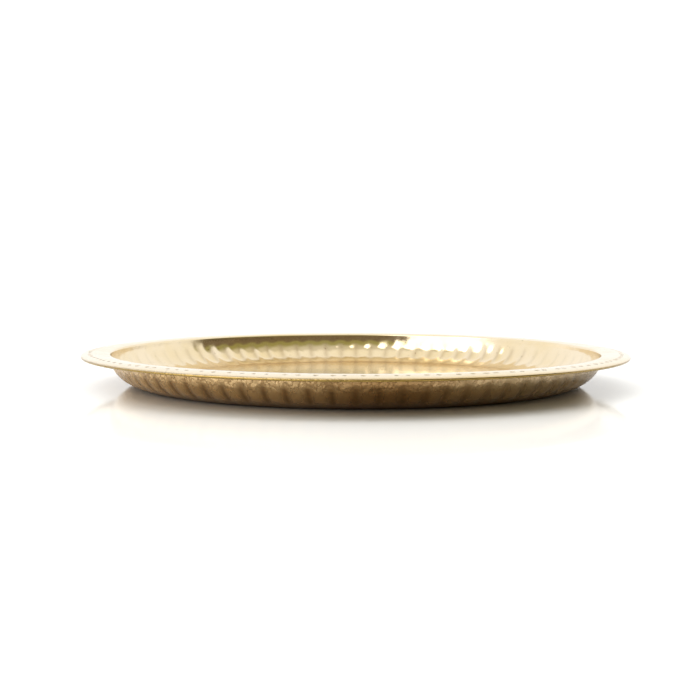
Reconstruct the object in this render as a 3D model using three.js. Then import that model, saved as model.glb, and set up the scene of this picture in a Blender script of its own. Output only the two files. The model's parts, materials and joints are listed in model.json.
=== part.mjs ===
// Round fluted brass tray, in millimetres, +Z up.
// The origin is on the axis, at the face that the tray stands on.
//
// The tray is one pressed sheet: a flat floor, a rounded side with pressed flutes, a gently
// domed flange, and an edge that is curled under round a wire. The wire is the second piece.
import * as THREE from "three";

// Driving sizes
const outerRadius = 150;
const sheetThickness = 0.5;
const edgeHeight = 16.7; // centre of the curled edge, above the base
const beadRadius = 0.9; // outside of the curled edge
const wireClearance = 0.1; // round the wire, inside the curl
const flangeCrownRadius = 141.5; // highest line of the flange, which is rounded down both ways
const flangeCurve = 33; // that rounding, at the middle of the sheet
const wallTopRadius = 135; // outer face of the side in the creases, where the shoulder begins
const floorEdgeRadius = 114.5; // where the flat base ends and the side begins
const shoulderRadius = 0.6; // bend from the side to the flange, on its hollow side

// Flutes: lobes pressed outwards, with a crease between each two
const fluteCount = 80;
const fluteDepth = 0.8;
const fluteFoot = 0.08; // where they start, as a share of the side's quarter turn
const fluteTop = 0.98; // where they end
const fluteFade = 0.25; // over which they reach their full depth
const pointsPerFlute = 3; // the first of them lies in the crease

// Facets
const plainSegments = fluteCount;
const fluteSegments = fluteCount * pointsPerFlute;
const wallSteps = 5;
const shoulderSteps = 3;
const flangeSteps = 5;
const curlSteps = 8;
const wireSides = 8;

// Worked out from the driving sizes
const halfSheet = sheetThickness / 2;
const beadCentreRadius = outerRadius - beadRadius;
const curlRadius = beadRadius - halfSheet;
const wireRadius = beadRadius - sheetThickness - wireClearance;
const shoulderBend = shoulderRadius + halfSheet;
const wallWidth = wallTopRadius - floorEdgeRadius - halfSheet;
const shoulderCentreRadius = floorEdgeRadius + wallWidth + shoulderBend;
// The flange's tilt where it meets the curl and the shoulder, from the distances between the
// centre of its rounding and theirs
const toBead = flangeCurve - curlRadius;
const toShoulder = flangeCurve - shoulderBend;
const edgeTilt = Math.asin((beadCentreRadius - flangeCrownRadius) / toBead);
const shoulderTilt = Math.asin((flangeCrownRadius - shoulderCentreRadius) / toShoulder);
const flangeCentreHeight = edgeHeight - toBead * Math.cos(edgeTilt);
const shoulderCentreHeight = flangeCentreHeight + toShoulder * Math.cos(shoulderTilt);
const wallDepth = shoulderCentreHeight - halfSheet;

// One station on the middle line of the sheet. The normal points to the sheet's upper face.
// flute is how much of the flutes' depth there is at the station, from 0 to 1.
function station(radius, height, normalAngle, flute, segments) {
  const normal = [Math.cos(normalAngle), Math.sin(normalAngle)];
  return { radius, height, normal, flute, segments };
}

// The flat floor, without its centre point.
function floorStations() {
  const upwards = Math.PI / 2;
  return [
    station(floorEdgeRadius / 2, halfSheet, upwards, 0, plainSegments / 2),
    station(floorEdgeRadius, halfSheet, upwards, 0, plainSegments),
  ];
}

// The rounded side: a quarter of an ellipse from the floor's edge up to the shoulder.
function wallStations() {
  const stations = [];
  for (let step = 1; step <= wallSteps; step += 1) {
    const turn = ((Math.PI / 2) * step) / wallSteps;
    const radius = floorEdgeRadius + wallWidth * Math.sin(turn);
    const height = shoulderCentreHeight - wallDepth * Math.cos(turn);
    const normalAngle = Math.atan2(wallWidth * Math.cos(turn), -wallDepth * Math.sin(turn));
    const flute = fluteAmount(step);
    stations.push(station(radius, height, normalAngle, flute, fluteSegments));
  }
  return stations;
}

// The flutes fade out into the floor and at the shoulder.
function fluteAmount(step) {
  const share = step / wallSteps;
  const fade = Math.min(1, (share - fluteFoot) / fluteFade, (fluteTop - share) / fluteFade);
  return Math.max(0, fade);
}

// The bend from the side to the flange.
function shoulderStations() {
  const stations = [];
  for (let step = 1; step <= shoulderSteps; step += 1) {
    const turn = ((Math.PI / 2 - shoulderTilt) * step) / shoulderSteps;
    const radius = shoulderCentreRadius - shoulderBend * Math.cos(turn);
    const height = shoulderCentreHeight + shoulderBend * Math.sin(turn);
    stations.push(station(radius, height, Math.PI - turn, 0, plainSegments));
  }
  return stations;
}

// The flange, between the shoulder and the curl.
function flangeStations() {
  const stations = [];
  for (let step = 1; step < flangeSteps; step += 1) {
    const tilt = ((edgeTilt + shoulderTilt) * step) / flangeSteps - shoulderTilt;
    const radius = flangeCrownRadius + flangeCurve * Math.sin(tilt);
    const height = flangeCentreHeight + flangeCurve * Math.cos(tilt);
    stations.push(station(radius, height, Math.PI / 2 - tilt, 0, plainSegments));
  }
  return stations;
}

// The edge, curled under from the flange until the sheet's end points straight up.
function curlStations() {
  const stations = [];
  const start = Math.PI / 2 - edgeTilt;
  for (let step = 0; step <= curlSteps; step += 1) {
    const angle = start - ((start + Math.PI) * step) / curlSteps;
    const radius = beadCentreRadius + curlRadius * Math.cos(angle);
    const height = edgeHeight + curlRadius * Math.sin(angle);
    stations.push(station(radius, height, angle, 0, plainSegments));
  }
  return stations;
}

// The points of one ring, half a sheet thickness to the given side of the middle line.
function ringPoints(place, side) {
  const points = [];
  for (let index = 0; index < place.segments; index += 1) {
    const angle = (2 * Math.PI * index) / place.segments;
    const inCrease = index % pointsPerFlute === 0;
    const pressedOut = inCrease ? 0 : place.flute * fluteDepth;
    const offset = side * halfSheet - pressedOut;
    const radius = place.radius + offset * place.normal[0];
    const height = place.height + offset * place.normal[1];
    points.push([radius * Math.cos(angle), radius * Math.sin(angle), height]);
  }
  return points;
}

// A closed skin made of rings of points. Neighbouring rings may have different numbers of points.
class Skin {
  constructor() {
    this.positions = [];
    this.faces = [];
  }

  addPoint(point) {
    this.positions.push(...point);
    return this.positions.length / 3 - 1;
  }

  addRing(points) {
    return points.map((point) => this.addPoint(point));
  }

  // Faces between two rings, stepping along whichever ring is behind.
  bridge(first, second) {
    let a = 0;
    let b = 0;
    while (a < first.length || b < second.length) {
      const nextA = (a + 1) / first.length;
      const nextB = (b + 1) / second.length;
      const cornerA = first[a % first.length];
      const cornerB = second[b % second.length];
      if (nextA <= nextB) {
        this.faces.push(cornerA, cornerB, first[(a + 1) % first.length]);
        a += 1;
      } else {
        this.faces.push(cornerA, cornerB, second[(b + 1) % second.length]);
        b += 1;
      }
    }
  }

  // A fan from a centre point to a ring. The ring runs anticlockwise seen from the outside.
  fan(centre, ring) {
    ring.forEach((corner, index) => {
      this.faces.push(centre, corner, ring[(index + 1) % ring.length]);
    });
  }

  geometry() {
    const geometry = new THREE.BufferGeometry();
    geometry.setAttribute("position", new THREE.Float32BufferAttribute(this.positions, 3));
    geometry.setIndex(this.faces);
    geometry.computeVertexNormals();
    return geometry;
  }
}

function panGeometry() {
  const side = [...floorStations(), ...wallStations(), ...shoulderStations()];
  const path = [...side, ...flangeStations(), ...curlStations()];
  const skin = new Skin();
  const upper = path.map((place) => skin.addRing(ringPoints(place, 1)));
  const lower = path.map((place) => skin.addRing(ringPoints(place, -1)));
  const upperCentre = skin.addPoint([0, 0, sheetThickness]);
  const lowerCentre = skin.addPoint([0, 0, 0]);
  skin.fan(upperCentre, upper[0]);
  for (let index = 1; index < path.length; index += 1) {
    skin.bridge(upper[index - 1], upper[index]);
  }
  skin.bridge(upper[path.length - 1], lower[path.length - 1]);
  for (let index = path.length - 1; index > 0; index -= 1) {
    skin.bridge(lower[index], lower[index - 1]);
  }
  skin.fan(lowerCentre, [...lower[0]].reverse());
  return skin.geometry();
}

// The wire, closed on itself all round the edge.
function wireGeometry() {
  const section = [];
  for (let side = 0; side <= wireSides; side += 1) {
    const angle = (2 * Math.PI * (side % wireSides)) / wireSides;
    const across = beadCentreRadius + wireRadius * Math.cos(angle);
    section.push(new THREE.Vector2(across, wireRadius * Math.sin(angle)));
  }
  return new THREE.LatheGeometry(section, plainSegments);
}

function namedMesh(name, geometry, finish) {
  const mesh = new THREE.Mesh(geometry, new THREE.MeshStandardMaterial(finish));
  mesh.name = name;
  return mesh;
}

const tray = new THREE.Group();

const pan = namedMesh("tray_pan", panGeometry(), { color: 0xd2ab5e, metalness: 1, roughness: 0.18 });
tray.add(pan);

const wire = namedMesh("edge_wire", wireGeometry(), { color: 0xb98f4a, metalness: 1, roughness: 0.4 });
// A lathe turns about Y: a quarter turn brings its axis to Z.
wire.rotation.x = Math.PI / 2;
wire.position.z = edgeHeight;
tray.add(wire);

export default tray;
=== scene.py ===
import json
import math
import bpy
from mathutils import Euler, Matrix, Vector


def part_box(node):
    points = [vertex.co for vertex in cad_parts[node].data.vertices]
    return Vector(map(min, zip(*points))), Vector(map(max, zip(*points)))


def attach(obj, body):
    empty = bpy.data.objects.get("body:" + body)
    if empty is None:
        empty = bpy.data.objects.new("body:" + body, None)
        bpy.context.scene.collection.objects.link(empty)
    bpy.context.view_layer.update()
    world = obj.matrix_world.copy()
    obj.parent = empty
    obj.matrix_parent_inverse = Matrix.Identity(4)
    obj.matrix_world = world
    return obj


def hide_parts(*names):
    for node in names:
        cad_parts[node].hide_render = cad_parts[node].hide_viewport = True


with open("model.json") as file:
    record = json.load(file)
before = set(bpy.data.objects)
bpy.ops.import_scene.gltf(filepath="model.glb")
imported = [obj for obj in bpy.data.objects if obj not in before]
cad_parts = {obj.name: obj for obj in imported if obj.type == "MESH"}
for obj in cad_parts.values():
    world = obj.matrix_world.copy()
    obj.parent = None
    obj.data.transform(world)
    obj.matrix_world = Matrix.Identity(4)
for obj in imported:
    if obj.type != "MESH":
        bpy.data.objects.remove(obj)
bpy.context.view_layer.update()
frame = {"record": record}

# The tray is one sheet of brass, pressed and spun, whose edge is curled under round a wire.
# Lengths are in metres.

MM = 0.001

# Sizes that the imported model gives
pan_low, pan_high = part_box("tray_pan")
wire_low, wire_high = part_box("edge_wire")
floor_mount = next(m for m in frame["record"]["mounts"] if m["name"] == "floor_top")
OUTER_RADIUS = pan_high.x
SHEET = floor_mount["pos_m"][2]
EDGE_HEIGHT = (wire_low.z + wire_high.z) / 2
WIRE_RADIUS = (wire_high.z - wire_low.z) / 2
WIRE_RING = wire_high.x - WIRE_RADIUS
BEAD_RADIUS = OUTER_RADIUS - WIRE_RING

# Sizes of the section that the model's box can't give
WALL_TOP_RADIUS = 135 * MM
FLOOR_EDGE_RADIUS = 114.5 * MM
SHOULDER_BEND = 0.6 * MM + SHEET / 2
FLANGE_CROWN = 141.5 * MM
FLANGE_CURVE = 33 * MM

# Worked out from those
CURL_RADIUS = BEAD_RADIUS - SHEET / 2
WALL_WIDTH = WALL_TOP_RADIUS - FLOOR_EDGE_RADIUS - SHEET / 2
SHOULDER_RADIUS = FLOOR_EDGE_RADIUS + WALL_WIDTH + SHOULDER_BEND
TO_BEAD = FLANGE_CURVE - CURL_RADIUS
TO_SHOULDER = FLANGE_CURVE - SHOULDER_BEND
EDGE_TILT = math.asin((WIRE_RING - FLANGE_CROWN) / TO_BEAD)
SHOULDER_TILT = math.asin((FLANGE_CROWN - SHOULDER_RADIUS) / TO_SHOULDER)
FLANGE_CENTRE = EDGE_HEIGHT - TO_BEAD * math.cos(EDGE_TILT)
SHOULDER_HEIGHT = FLANGE_CENTRE + TO_SHOULDER * math.cos(SHOULDER_TILT)
WALL_DEPTH = SHOULDER_HEIGHT - SHEET / 2

# Flutes: lobes pressed outwards, with a crease between each two
FLUTES = 80
FLUTE_DEPTH = 0.45 * MM
CREASE_SOFTNESS = 0.25  # how round the bottom of a crease is: 0 is sharp
FLUTE_DRIFT = 0.03  # how far the creases stray from even spacing, in radians
WORN_AWAY = 0.75  # share of the flutes' depth that is lost on the two sides held by hands
NO_FLUTES = -1.0  # how high up the side a station is said to be where there are no flutes

# Punched marks on the flange
MARKS = 134
MARK_RING = 145.3 * MM
MARK_RADIUS = 1.0 * MM
MARK_DEPTH = 0.5 * MM
POINTS_PER_MARK = 8  # points round the tray for each mark, which also set its facets

# Facets of the wire
WIRE_LENGTHS = 360
WIRE_SIDES = 12

# Seeds of what is uneven
FLUTE_SEED = 7.0
MARK_SEED = 3


# ---------------------------------------------------------------- node helpers


class Wiring:
    """Adds nodes to a tree and joins them. A value is either a number or another node's output."""

    def __init__(self, tree):
        self.tree = tree

    def feed(self, socket, value):
        """Gives a socket its value."""
        if isinstance(value, bpy.types.NodeSocket):
            self.tree.links.new(value, socket)
        else:
            socket.default_value = value

    def node(self, kind, settings=None, **inputs):
        """A new node. An input is named as in the node, with _ for a space."""
        made = self.tree.nodes.new(kind)
        for name, value in (settings or {}).items():
            setattr(made, name, value)
        for name, value in inputs.items():
            self.feed(made.inputs[name.replace("_", " ")], value)
        return made

    def math(self, operation, *values, clamp=False):
        made = self.node("ShaderNodeMath", {"operation": operation, "use_clamp": clamp})
        for socket, value in zip(made.inputs, values):
            self.feed(socket, value)
        return made.outputs[0]

    def vector(self, x, y, z):
        """A vector from its three parts."""
        return self.node("ShaderNodeCombineXYZ", X=x, Y=y, Z=z).outputs[0]

    def parts(self, vector):
        """The three parts of a vector."""
        return self.node("ShaderNodeSeparateXYZ", Vector=vector).outputs

    def fade(self, value, start, end, low=0.0, high=1.0):
        """Runs smoothly from low to high as value goes from start to end."""
        made = self.node("ShaderNodeMapRange", {"interpolation_type": "SMOOTHSTEP"}, Value=value)
        self.feed(made.inputs["From Min"], start)
        self.feed(made.inputs["From Max"], end)
        self.feed(made.inputs["To Min"], low)
        self.feed(made.inputs["To Max"], high)
        return made.outputs["Result"]

    def times(self, *values):
        """The product of two or more values."""
        product = values[0]
        for value in values[1:]:
            product = self.math("MULTIPLY", product, value)
        return product

    def length(self, first, second):
        """The length of the long side over two sides at right angles."""
        squares = [self.math("POWER", side, 2.0) for side in (first, second)]
        return self.math("SQRT", self.math("ADD", *squares))

    def round_axis(self, turn, level):
        """A point on a ring, for a noise that closes on itself once round the axis."""
        return self.vector(self.math("COSINE", turn), self.math("SINE", turn), level)

    def noise(self, vector, scale, detail=2.0, roughness=0.5):
        """Smooth noise about 0.5. A larger scale gives smaller features."""
        made = self.node("ShaderNodeTexNoise", Vector=vector, Scale=scale, Detail=detail)
        made.inputs["Roughness"].default_value = roughness
        return made.outputs[0]


def geometry_tree(name, inputs):
    """A geometry tree with named inputs, and the outputs of its Group Input node by name."""
    tree = bpy.data.node_groups.new(name, "GeometryNodeTree")
    tree.is_modifier = True
    tree.interface.new_socket("Geometry", in_out="INPUT", socket_type="NodeSocketGeometry")
    tree.interface.new_socket("Geometry", in_out="OUTPUT", socket_type="NodeSocketGeometry")
    for label, kind in inputs.items():
        tree.interface.new_socket(label, in_out="INPUT", socket_type="NodeSocket" + kind)
    wiring = Wiring(tree)
    return tree, wiring, wiring.node("NodeGroupInput").outputs


def finish_tree(wiring, geometry, given):
    """The last steps of each geometry tree: smooth shading, real geometry and its material."""
    smooth = wiring.node("GeometryNodeSetShadeSmooth", Geometry=geometry)
    real = wiring.node("GeometryNodeRealizeInstances", Geometry=smooth.outputs[0])
    painted = wiring.node("GeometryNodeSetMaterial", Geometry=real.outputs[0])
    wiring.feed(painted.inputs["Material"], given["Material"])
    end = wiring.node("NodeGroupOutput")
    wiring.feed(end.inputs["Geometry"], painted.outputs[0])


def grow(name, mesh, tree, values):
    """Runs a geometry tree on a mesh with the given input values. The result is a plain object."""
    start = bpy.data.objects.new(name + "_start", mesh)
    bpy.context.scene.collection.objects.link(start)
    modifier = start.modifiers.new("shape", "NODES")
    modifier.node_group = tree
    for item in tree.interface.items_tree:
        if item.in_out == "INPUT" and item.name in values:
            modifier[item.identifier] = values[item.name]
    depsgraph = bpy.context.evaluated_depsgraph_get()
    grown = bpy.data.meshes.new_from_object(start.evaluated_get(depsgraph))
    bpy.data.objects.remove(start)
    grown.name = name
    piece = bpy.data.objects.new(name, grown)
    bpy.context.scene.collection.objects.link(piece)
    return piece


# ------------------------------------------------------- the sheet's section


def station(radius, height, upper_angle, rise=NO_FLUTES):
    """A point on the sheet's middle line. upper_angle is the way that its upper face looks.
    rise is 0 at the floor's edge, 1 at the shoulder and NO_FLUTES away from the side.
    Where the upper face turns outwards and down round the curled edge, a share from 0 to 1 gives it
    the outside's brown: painted shade."""
    up = Vector((math.cos(upper_angle), 0, math.sin(upper_angle)))
    looks_outwards = upper_angle < math.pi / 2
    painted_curl_shade = min(1.0, max(0.0, (0.7 - up.z) / 0.6)) if looks_outwards else 0.0
    return {"at": Vector((radius, 0, height)), "up": up, "rise": rise, "painted_curl_shade": painted_curl_shade}


def floor_line(rows):
    """The flat floor, from the axis to its edge."""
    radii = [FLOOR_EDGE_RADIUS * row / rows for row in range(rows + 1)]
    return [station(radius, SHEET / 2, math.pi / 2) for radius in radii]


def wall_line(rows):
    """The rounded side: a quarter of an ellipse from the floor's edge up to the shoulder."""
    line = []
    for row in range(1, rows + 1):
        turn = math.pi / 2 * row / rows
        radius = FLOOR_EDGE_RADIUS + WALL_WIDTH * math.sin(turn)
        height = SHOULDER_HEIGHT - WALL_DEPTH * math.cos(turn)
        upper_angle = math.atan2(WALL_WIDTH * math.cos(turn), -WALL_DEPTH * math.sin(turn))
        line.append(station(radius, height, upper_angle, row / rows))
    return line


def shoulder_line(rows):
    """The bend out from the side to the flange."""
    line = []
    for row in range(1, rows + 1):
        turn = (math.pi / 2 - SHOULDER_TILT) * row / rows
        radius = SHOULDER_RADIUS - SHOULDER_BEND * math.cos(turn)
        height = SHOULDER_HEIGHT + SHOULDER_BEND * math.sin(turn)
        line.append(station(radius, height, math.pi - turn, 1 + 0.1 * row / rows))
    return line


def flange_line(rows):
    """The gently domed flange. Its rows lie close together across the ring of punched marks."""
    reach = 1.3 * MARK_RADIUS
    start = WIRE_RING + CURL_RADIUS * math.sin(EDGE_TILT)
    across = [MARK_RING + reach * (2 * row / rows - 1) for row in range(rows + 1)]
    radii = [SHOULDER_RADIUS + 2 * MM, FLANGE_CROWN] + across + [(across[-1] + start) / 2]
    line = []
    for radius in radii:
        tilt = math.asin((radius - FLANGE_CROWN) / FLANGE_CURVE)
        height = FLANGE_CENTRE + FLANGE_CURVE * math.cos(tilt)
        line.append(station(radius, height, math.pi / 2 - tilt))
    return line


def curl_line(rows):
    """The edge, curled under from the flange until the sheet's end points straight up."""
    line = []
    start = math.pi / 2 - EDGE_TILT
    for row in range(rows + 1):
        angle = start - (start + math.pi) * row / rows
        radius = WIRE_RING + CURL_RADIUS * math.cos(angle)
        height = EDGE_HEIGHT + CURL_RADIUS * math.sin(angle)
        line.append(station(radius, height, angle))
    return line


def sheet_section():
    """The whole outline of the cut sheet, as a mesh of points that starts and ends on the axis."""
    upper = floor_line(8) + wall_line(17) + shoulder_line(5) + flange_line(6) + curl_line(9)
    lower = floor_line(3) + wall_line(17) + shoulder_line(3) + flange_line(1) + curl_line(6)
    rows = [(place, 1) for place in upper] + [(place, -1) for place in reversed(lower)]
    mesh = bpy.data.meshes.new("sheet_section")
    corners = [place["at"] + place["up"] * side * SHEET / 2 for place, side in rows]
    mesh.from_pydata(corners, [], [])
    rise = mesh.attributes.new("rise", "FLOAT", "POINT")
    rise.data.foreach_set("value", [place["rise"] for place, side in rows])
    outside = mesh.attributes.new("outside", "FLOAT", "POINT")
    # Round the curled edge the share on the upper face is painted shade that browns the turned-down
    # face; the lower face is the real outside.
    shares = [place["painted_curl_shade"] if side > 0 else 1.0 for place, side in rows]
    outside.data.foreach_set("value", shares)
    press = mesh.attributes.new("press", "FLOAT_VECTOR", "POINT")
    press.data.foreach_set("vector", [c for place, side in rows for c in -place["up"]])
    return mesh


# ------------------------------------------------- spinning and pressing it


def sample(wiring, given, index, data_type, name):
    """An attribute of the section at a row number."""
    if name == "position":
        value = wiring.node("GeometryNodeInputPosition").outputs[0]
    else:
        named = wiring.node("GeometryNodeInputNamedAttribute", {"data_type": data_type}, Name=name)
        value = named.outputs["Attribute"]
    taken = wiring.node("GeometryNodeSampleIndex", {"data_type": data_type})
    wiring.feed(taken.inputs["Geometry"], given["Geometry"])
    wiring.feed(taken.inputs["Value"], value)
    wiring.feed(taken.inputs["Index"], index)
    return taken.outputs["Value"]


def lobe_share(wiring, given, turn):
    """0 in a crease and 1 at the top of a lobe. A softer crease has a rounder bottom."""
    half_turns = wiring.math("MULTIPLY", turn, wiring.math("DIVIDE", given["Flutes"], 2.0))
    wave = wiring.math("POWER", wiring.math("SINE", half_turns), 2.0)
    soft = given["Crease Softness"]
    soft_square = wiring.times(soft, soft)
    root = wiring.math("SQRT", wiring.math("ADD", wave, soft_square))
    full = wiring.math("SQRT", wiring.math("ADD", 1.0, soft_square))
    above = wiring.math("SUBTRACT", root, soft)
    return wiring.math("DIVIDE", above, wiring.math("SUBTRACT", full, soft))


def flute_lift(wiring, given, turn, rise):
    """How far the sheet is pressed out, and how deep in a crease each place is, from 0 to 1."""
    lobe = lobe_share(wiring, given, turn)
    crease = wiring.math("SUBTRACT", 1.0, lobe)
    uneven = wiring.noise(wiring.round_axis(turn, given["Seed"]), 11.0)
    uneven = wiring.math("SUBTRACT", uneven, 0.5)
    # The lobes start as points above the floor and end in round tops under the shoulder.
    point_length = 0.22
    uneven_start = 0.15
    top_roundness = 0.12
    from_floor = wiring.math("SUBTRACT", rise, wiring.times(crease, point_length))
    from_floor = wiring.math("ADD", from_floor, wiring.times(uneven, uneven_start))
    to_shoulder = wiring.math("ADD", rise, wiring.times(crease, top_roundness))
    starts = wiring.fade(from_floor, 0.08, 0.55)
    ends = wiring.fade(to_shoulder, 0.66, 0.96, 1.0, 0.0)
    # The tray is held by two opposite sides, where the flutes are worn shallow.
    sideways = wiring.math("ABSOLUTE", wiring.math("COSINE", turn))
    held = wiring.fade(sideways, 0.74, 0.9)
    kept = wiring.math("MULTIPLY_ADD", held, -WORN_AWAY, 1.0)
    depth = wiring.times(given["Flute Depth"], wiring.math("MULTIPLY_ADD", uneven, 0.9, 1.0), kept)
    lift = wiring.times(lobe, wiring.times(starts, ends), depth)
    along = wiring.times(wiring.fade(rise, 0.2, 0.5), wiring.fade(rise, 0.72, 0.9, 1.0, 0.0), kept)
    return lift, wiring.times(wiring.math("POWER", crease, 2.0), along)


def punched_mark(wiring, given, turn, angle, radius):
    """How deep each place lies in the nearest punched mark, from 0 to 1."""
    pitch = wiring.math("DIVIDE", 2 * math.pi, given["Marks"])
    nearest = wiring.math("ROUND", wiring.math("DIVIDE", turn, pitch))
    number = wiring.math("FLOORED_MODULO", nearest, given["Marks"])
    scatter = wiring.node("FunctionNodeRandomValue", {"data_type": "FLOAT_VECTOR"})
    scatter.inputs[0].default_value = (-1, -1, -1)
    scatter.inputs[1].default_value = (1, 1, 1)
    wiring.feed(scatter.inputs["ID"], number)
    scatter.inputs["Seed"].default_value = MARK_SEED
    along, across, larger = wiring.parts(scatter.outputs[0])
    # Hand punching: each mark slips along and across its ring and varies in size.
    slip = wiring.times(along, wiring.times(pitch, 0.2))
    centre = wiring.math("ADD", wiring.times(nearest, pitch), slip)
    sideways = wiring.times(wiring.math("SUBTRACT", angle, centre), radius)
    ring = wiring.math("MULTIPLY_ADD", across, 0.15 * MM, given["Mark Ring"])
    away = wiring.length(sideways, wiring.math("SUBTRACT", radius, ring))
    size = wiring.math("MULTIPLY_ADD", larger, 0.2, 0.95)
    reach = wiring.times(given["Mark Radius"], size)
    return wiring.fade(wiring.math("DIVIDE", away, reach), 0.4, 1.0, 1.0, 0.0)


def drifted_angle(wiring, given, turn, radius, rise):
    """Each point's angle round the axis: round the flange the points gather at the marks, and up
    the side they drift with the creases, which aren't quite evenly spaced."""
    on_flange = wiring.fade(radius, SHOULDER_RADIUS + MM, MARK_RING - 2 * MARK_RADIUS)
    gather = wiring.math("SINE", wiring.times(turn, given["Marks"]))
    gather = wiring.math("DIVIDE", wiring.times(gather, -0.5), given["Marks"])
    uneven = wiring.noise(wiring.round_axis(turn, given["Seed"]), 9.0)
    drift = wiring.times(wiring.math("SUBTRACT", uneven, 0.5), given["Flute Drift"])
    on_side = wiring.times(wiring.fade(rise, 0.0, 0.3), wiring.fade(rise, 1.0, 1.1, 1.0, 0.0))
    angle = wiring.math("MULTIPLY_ADD", gather, on_flange, turn)
    return wiring.math("MULTIPLY_ADD", drift, on_side, angle)


def sheet_tree():
    """Turns the section once round the axis, presses the flutes and punches the marks."""
    tree, wiring, given = geometry_tree("Spun and pressed sheet", {
        "Segments": "Int", "Flutes": "Float", "Flute Depth": "Float", "Crease Softness": "Float",
        "Flute Drift": "Float", "Marks": "Float", "Mark Ring": "Float", "Mark Radius": "Float",
        "Mark Depth": "Float", "Seed": "Float", "Material": "Material",
    })
    size = wiring.node("GeometryNodeAttributeDomainSize", Geometry=given["Geometry"])
    around = wiring.math("ADD", given["Segments"], 1.0)
    rows = size.outputs["Point Count"]
    grid = wiring.node("GeometryNodeMeshGrid", Vertices_X=rows, Vertices_Y=around)
    index = wiring.node("GeometryNodeInputIndex").outputs[0]
    row = wiring.math("FLOOR", wiring.math("DIVIDE", wiring.math("ADD", index, 0.5), around))
    step = wiring.math("SUBTRACT", index, wiring.times(row, around))
    turn = wiring.times(wiring.math("DIVIDE", step, given["Segments"]), 2 * math.pi)

    at = sample(wiring, given, row, "FLOAT_VECTOR", "position")
    rise = sample(wiring, given, row, "FLOAT", "rise")
    outside = sample(wiring, given, row, "FLOAT", "outside")
    press = sample(wiring, given, row, "FLOAT_VECTOR", "press")
    radius, _, height = wiring.parts(at)
    press_out, _, press_up = wiring.parts(press)

    angle = drifted_angle(wiring, given, turn, radius, rise)
    lift, crease = flute_lift(wiring, given, turn, rise)
    mark = punched_mark(wiring, given, turn, angle, radius)
    sink = wiring.times(mark, given["Mark Depth"])
    reach = wiring.math("MULTIPLY_ADD", press_out, lift, radius)
    level = wiring.math("SUBTRACT", wiring.math("MULTIPLY_ADD", press_up, lift, height), sink)
    x = wiring.times(reach, wiring.math("COSINE", angle))
    y = wiring.times(reach, wiring.math("SINE", angle))
    place = wiring.vector(x, y, level)
    shape = grid.outputs["Mesh"]
    for name, value in (("crease", crease), ("mark", mark), ("outside", outside)):
        stored = wiring.node("GeometryNodeStoreNamedAttribute", Geometry=shape, Name=name, Value=value)
        shape = stored.outputs[0]
    placed = wiring.node("GeometryNodeSetPosition", Geometry=shape, Position=place)
    merged = wiring.node("GeometryNodeMergeByDistance", Geometry=placed.outputs[0], Distance=1e-6)
    finish_tree(wiring, merged.outputs[0], given)
    return tree


def wire_tree():
    """A wire closed on itself in a level ring."""
    tree, wiring, given = geometry_tree("Ring of wire", {
        "Ring Radius": "Float", "Wire Radius": "Float", "Height": "Float", "Material": "Material",
    })
    circle = "GeometryNodeCurvePrimitiveCircle"
    ring = wiring.node(circle, Resolution=WIRE_LENGTHS, Radius=given["Ring Radius"])
    section = wiring.node(circle, Resolution=WIRE_SIDES, Radius=given["Wire Radius"])
    swept = wiring.node("GeometryNodeCurveToMesh", Curve=ring.outputs[0])
    wiring.feed(swept.inputs["Profile Curve"], section.outputs[0])
    lifted = wiring.node("GeometryNodeTransform", Geometry=swept.outputs[0])
    wiring.feed(lifted.inputs["Translation"], wiring.vector(0.0, 0.0, given["Height"]))
    finish_tree(wiring, lifted.outputs[0], given)
    return tree


# ------------------------------------------------------------------ materials


def new_material(name):
    """An empty material with a surface shader joined to its output."""
    material = bpy.data.materials.new(name)
    material.use_nodes = True
    material.node_tree.nodes.clear()
    wiring = Wiring(material.node_tree)
    surface = wiring.node("ShaderNodeBsdfPrincipled")
    end = wiring.node("ShaderNodeOutputMaterial")
    wiring.feed(end.inputs["Surface"], surface.outputs[0])
    return material, wiring, surface


def mix(wiring, share, first, second):
    """A colour between two others."""
    made = wiring.node("ShaderNodeMix", {"data_type": "RGBA"})
    wiring.feed(made.inputs["Factor"], share)
    wiring.feed(made.inputs[6], first)
    wiring.feed(made.inputs[7], second)
    return made.outputs[2]


def attribute(wiring, name):
    """A value that the geometry tree stored on the mesh."""
    return wiring.node("ShaderNodeAttribute", {"attribute_name": name}).outputs["Fac"]


# The tones of the tray's brass
PALE_POLISH = (0.84, 0.72, 0.53, 1)
DEEP_POLISH = (0.79, 0.65, 0.41, 1)
TAWNY = (0.5, 0.34, 0.17, 1)
BROWN = (0.33, 0.19, 0.075, 1)
# Painted light: a lighter, warmer tone for the left of the outside, where the window falls, and a
# painted grey reflection for the right.
PAINTED_LEFT_LIGHT = (0.66, 0.47, 0.24, 1)
PAINTED_RIGHT_REFLECTION = (0.5, 0.41, 0.28, 1)
SPECK = (0.25, 0.15, 0.06, 1)
# Dirt, and painted shade at the foot and in the wrinkles below the rim.
DIRT_AND_SHADE = (0.2, 0.11, 0.04, 1)
# Painted shade for the lower outer half of the curled edge, standing in for the shadowed floor that it
# mirrors.
PAINTED_BEAD_SHADE = (0.3, 0.2, 0.05, 1)


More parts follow.
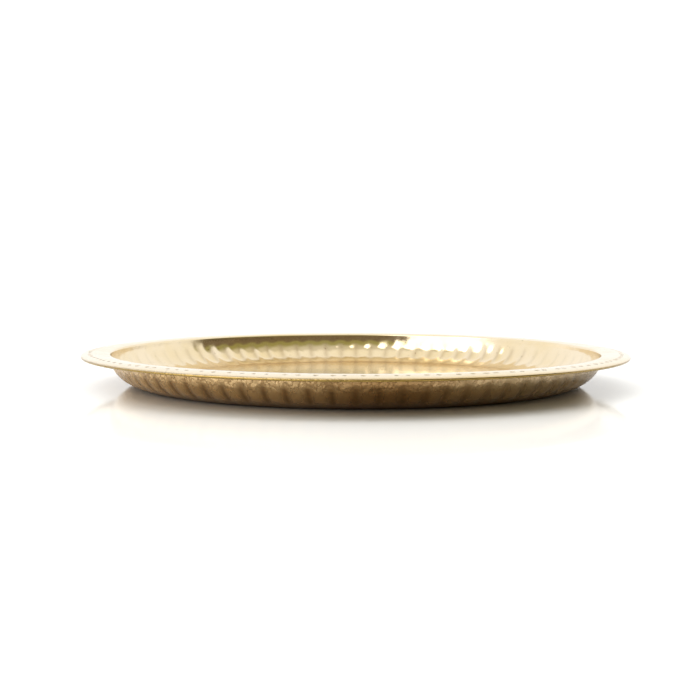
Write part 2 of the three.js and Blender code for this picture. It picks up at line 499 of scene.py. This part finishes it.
def tray_dirt_and_shade(wiring, place, radius, outside):
    """Where dirt has gathered and where shade is painted, from 0 to 1, and how dirty each part of the
    outside is.
    """
    x, y, z = wiring.parts(place)
    dirt = wiring.times(outside, wiring.fade(x, -10 * MM, 90 * MM, 1.0, 0.4))
    in_creases = wiring.times(attribute(wiring, "crease"), wiring.math("MAXIMUM", dirt, 0.35))
    in_marks = wiring.math("MULTIPLY", attribute(wiring, "mark"), 1.2, clamp=True)
    # Dirt in the wrinkles below the rim, and painted shade: dark scribbled lines that stand in for the
    # crinkled sheet's broken reflections.
    tall = wiring.vector(x, y, wiring.times(z, 0.6))
    ridge = wiring.math("ABSOLUTE", wiring.math("SUBTRACT", wiring.noise(tall, 300.0, 2.0), 0.5))
    on_side = wiring.fade(radius, WALL_TOP_RADIUS, WALL_TOP_RADIUS + 4 * MM, 1.0, 0.2)
    near_rim = wiring.times(dirt, on_side, wiring.fade(z, 7 * MM, 13 * MM))
    wrinkle_dirt_and_shade = wiring.times(near_rim, wiring.fade(ridge, 0.01, 0.07, 0.7, 0.0))
    # Painted shade and dirt: the outside darkens over its lowest few millimetres, a painted contact
    # shadow.
    foot_shade_and_dirt = wiring.times(outside, wiring.fade(z, 1 * MM, 5 * MM, 0.9, 0.0))
    grime_and_shade = wiring.math("MAXIMUM", in_creases, wrinkle_dirt_and_shade)
    grime_and_shade = wiring.math("MAXIMUM", grime_and_shade, in_marks)
    return wiring.math("MAXIMUM", grime_and_shade, foot_shade_and_dirt), dirt


def tray_colour(wiring, place, radius, outside, grime_and_shade):
    """Pale where it is polished, and browner outside, with painted light: lighter and warmer on the
    window's side and a painted grey reflection on the other, and painted shade under the curled edge.
    """
    x, y, z = wiring.parts(place)
    clouds = wiring.fade(wiring.noise(place, 18.0, 5.0, 0.6), 0.35, 0.68)
    polished = mix(wiring, clouds, PALE_POLISH, DEEP_POLISH)
    stain = wiring.fade(wiring.noise(place, 7.0, 3.0), 0.4, 0.6)
    dull = mix(wiring, stain, TAWNY, BROWN)
    # Painted light: lighter and warmer towards the left, where the window falls, and a painted grey
    # reflection towards the right.
    dull = mix(wiring, wiring.fade(x, -100 * MM, -10 * MM, 0.6, 0.0), dull, PAINTED_LEFT_LIGHT)
    dull = mix(wiring, wiring.fade(x, 10 * MM, 100 * MM, 0.0, 0.6), dull, PAINTED_RIGHT_REFLECTION)
    # Round the curled edge this brown is painted shade.
    colour = mix(wiring, wiring.times(outside, 0.95), polished, dull)
    specks = wiring.fade(wiring.noise(place, 420.0, 3.0), 0.69, 0.76)
    colour = mix(wiring, wiring.times(specks, 0.55), colour, SPECK)
    colour = mix(wiring, wiring.times(grime_and_shade, 0.8), colour, DIRT_AND_SHADE)
    # Painted shade: the lower outer half of the bead is darkened, standing in for the shadowed floor
    # that it mirrors.
    on_bead = wiring.fade(radius, OUTER_RADIUS - 0.55 * MM, OUTER_RADIUS - 0.25 * MM)
    low = wiring.fade(z, EDGE_HEIGHT, EDGE_HEIGHT + 0.5 * MM, 0.9, 0.0)
    return mix(wiring, wiring.times(on_bead, low), colour, PAINTED_BEAD_SHADE)


def tray_roughness(wiring, place, outside, grime_and_shade):
    """Smeared from wiping, and duller outside and where it is dirty."""
    x, y, z = wiring.parts(place)
    smears = wiring.noise(wiring.vector(x, y, wiring.times(z, 3.0)), 60.0, 4.0, 0.65)
    rough = wiring.fade(smears, 0.3, 0.75, 0.11, 0.2)
    rough = wiring.math("MULTIPLY_ADD", outside, 0.08, rough)
    return wiring.math("MULTIPLY_ADD", grime_and_shade, 0.25, rough)


def tray_bumps(wiring, place, radius, dirt):
    """Fine lines from spinning, soft hammer marks, and wrinkles outside below the rim."""
    x, y, z = wiring.parts(place)
    lines = wiring.noise(wiring.vector(wiring.times(radius, 900.0), 0.0, z), 1.0, 3.0, 0.6)
    hammered = wiring.noise(place, 55.0, 3.0, 0.55)
    wrinkled = wiring.noise(place, 260.0, 3.0, 0.6)
    below_rim = wiring.times(dirt, wiring.fade(z, 5 * MM, 12 * MM, 0.2, 1.0))
    height = wiring.times(lines, 0.004 * MM)
    height = wiring.math("MULTIPLY_ADD", hammered, 0.2 * MM, height)
    height = wiring.math("ADD", height, wiring.times(wrinkled, below_rim, 0.9 * MM))
    return wiring.node("ShaderNodeBump", Strength=1.0, Distance=1.0, Height=height).outputs[0]


def polished_brass():
    """Bright hand-polished brass: cloudy tarnish, brown in the creases, fine spinning lines, and
    painted light and shade on the outside and round the curled edge.
    """
    material, wiring, surface = new_material("polished_brass")
    place = wiring.node("ShaderNodeTexCoord").outputs["Object"]
    x, y, z = wiring.parts(place)
    radius = wiring.length(x, y)
    outside = attribute(wiring, "outside")
    grime_and_shade, dirt = tray_dirt_and_shade(wiring, place, radius, outside)
    colour = tray_colour(wiring, place, radius, outside, grime_and_shade)
    wiring.feed(surface.inputs["Base Color"], colour)
    surface.inputs["Metallic"].default_value = 1.0
    wiring.feed(surface.inputs["Roughness"], tray_roughness(wiring, place, outside, grime_and_shade))
    wiring.feed(surface.inputs["Normal"], tray_bumps(wiring, place, radius, dirt))
    return material


def wire_brass():
    """Drawn brass wire, dull and a little brown, with a fine noisy bump."""
    material, wiring, surface = new_material("wire_brass")
    place = wiring.node("ShaderNodeTexCoord").outputs["Object"]
    tone = wiring.noise(place, 120.0, 4.0, 0.6)
    bright_wire = (0.6, 0.42, 0.18, 1)
    brown_wire = (0.3, 0.19, 0.08, 1)
    colour = mix(wiring, wiring.fade(tone, 0.3, 0.7), bright_wire, brown_wire)
    wiring.feed(surface.inputs["Base Color"], colour)
    surface.inputs["Metallic"].default_value = 1.0
    wiring.feed(surface.inputs["Roughness"], wiring.fade(tone, 0.3, 0.7, 0.3, 0.5))
    height = wiring.times(tone, 0.02 * MM)
    bump = wiring.node("ShaderNodeBump", Strength=1.0, Distance=1.0, Height=height)
    wiring.feed(surface.inputs["Normal"], bump.outputs[0])
    return material


# ------------------------------------------------------------------ the tray


def make_pan(material):
    """The whole sheet: floor, fluted side, flange and curled edge."""
    pan = grow("brass_pan", sheet_section(), sheet_tree(), {
        "Segments": MARKS * POINTS_PER_MARK, "Flutes": float(FLUTES),
        "Flute Depth": FLUTE_DEPTH, "Crease Softness": CREASE_SOFTNESS,
        "Flute Drift": FLUTE_DRIFT, "Marks": float(MARKS), "Mark Ring": MARK_RING,
        "Mark Radius": MARK_RADIUS, "Mark Depth": MARK_DEPTH, "Seed": FLUTE_SEED,
        "Material": material,
    })
    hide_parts("tray_pan")
    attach(pan, "root")
    return pan


def make_wire(material):
    """The wire that the edge is curled round."""
    wire = grow("brass_edge_wire", bpy.data.meshes.new("wire_start"), wire_tree(), {
        "Ring Radius": WIRE_RING, "Wire Radius": WIRE_RADIUS, "Height": EDGE_HEIGHT,
        "Material": material,
    })
    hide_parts("edge_wire")
    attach(wire, "root")
    return wire


# ------------------------------------------------------- floor, light, camera


def make_floor():
    """A wide sheet of glossy white acrylic under the tray."""
    material, wiring, surface = new_material("white_acrylic")
    surface.inputs["Base Color"].default_value = (0.93, 0.93, 0.93, 1)
    surface.inputs["Roughness"].default_value = 0.08
    surface.inputs["IOR"].default_value = 1.38
    reach = 6.0
    corners = [(-reach, -reach, 0), (reach, -reach, 0), (reach, reach, 0), (-reach, reach, 0)]
    mesh = bpy.data.meshes.new("studio_floor")
    mesh.from_pydata(corners, [], [(0, 1, 2, 3)])
    mesh.materials.append(material)
    floor = bpy.data.objects.new("studio_floor", mesh)
    bpy.context.scene.collection.objects.link(floor)


def make_world():
    """A white studio: bright behind, above and to the sides, and dim on the camera's side."""
    world = bpy.data.worlds.new("studio")
    bpy.context.scene.world = world
    world.use_nodes = True
    world.node_tree.nodes.clear()
    wiring = Wiring(world.node_tree)
    x, y, z = wiring.parts(wiring.node("ShaderNodeTexCoord").outputs["Generated"])
    azimuth = wiring.math("ARCTAN2", x, wiring.times(y, -1.0))
    left_end = wiring.fade(azimuth, -1.3, -1.1)
    right_end = wiring.fade(azimuth, 1.5, 1.65, 1.0, 0.0)
    front = wiring.times(left_end, right_end)
    white_walls = (1.16, 1.16, 1.16, 1)
    cream_ceiling = (1.12, 1.08, 0.95, 1)
    sky = mix(wiring, wiring.fade(z, 0.75, 0.95), white_walls, cream_ceiling)

    def dim(sky, height, fading, tone):
        """The camera's side of the studio in another tone below a height on the unit sphere."""
        below = wiring.fade(z, height - fading, height, 1.0, 0.0)
        return mix(wiring, wiring.times(front, below), sky, tone)

    # From the top down: cream, olive, brown and nearly black.
    sky = dim(sky, 1.0, 0.1, (0.76, 0.72, 0.58, 1))
    sky = dim(sky, 0.85, 0.3, (0.38, 0.36, 0.14, 1))
    sky = dim(sky, 0.46, 0.18, (0.2, 0.15, 0.09, 1))
    sky = dim(sky, 0.14, 0.1, (0.06, 0.045, 0.02, 1))
    ray = wiring.node("ShaderNodeLightPath").outputs
    # A panel above and behind lights the floor, but the brass doesn't mirror it.
    behind = wiring.times(wiring.fade(y, 0.0, 0.15), wiring.fade(z, 0.5, 0.65))
    panel_light = (3.0, 3.0, 3.0, 1)
    backdrop = (1.3, 1.3, 1.3, 1)
    sky = mix(wiring, wiring.times(behind, ray["Is Diffuse Ray"]), sky, panel_light)
    seen = mix(wiring, ray["Is Camera Ray"], sky, backdrop)
    back = wiring.node("ShaderNodeBackground", Color=seen)
    end = wiring.node("ShaderNodeOutputWorld")
    wiring.feed(end.inputs["Surface"], back.outputs[0])


def make_window():
    """A tall soft window on the camera's left."""
    light = bpy.data.lights.new("window", "AREA")
    light.shape = "RECTANGLE"
    light.size = 1.32
    light.size_y = 1.8
    light.energy = 16.0  # watts
    window = bpy.data.objects.new("window", light)
    bpy.context.scene.collection.objects.link(window)
    round_left = math.radians(51.8)
    up = math.radians(33)
    away = 1.5
    window.location = (
        -away * math.sin(round_left) * math.cos(up),
        -away * math.cos(round_left) * math.cos(up),
        away * math.sin(up),
    )
    window.rotation_euler = window.location.to_track_quat("Z", "Y").to_euler()


def make_camera():
    """Low in front of the tray and close to it, leaning a touch to one side."""
    data = bpy.data.cameras.new("camera")
    camera = bpy.data.objects.new("camera", data)
    bpy.context.scene.collection.objects.link(camera)
    rise = math.radians(4.59)
    away = 3.96 * OUTER_RADIUS
    centre = Vector((0, 0, 17 * MM))
    camera.location = centre + Vector((0, -math.cos(rise), math.sin(rise))) * away
    roll = math.radians(0.16)
    turn = Euler((math.pi / 2 - rise, 0, 0)).to_matrix() @ Euler((0, 0, roll)).to_matrix()
    camera.rotation_euler = turn.to_euler()
    data.sensor_width = 36.0
    data.lens = 54.25
    # A small shift frames the tray while the camera keeps facing its middle.
    data.shift_x = -0.0081
    data.shift_y = 0.0017
    data.clip_start = 0.01
    bpy.context.scene.camera = camera


bpy.context.scene.view_settings.view_transform = "Standard"
make_camera()
make_world()
make_window()
make_floor()
make_pan(polished_brass())
make_wire(wire_brass())
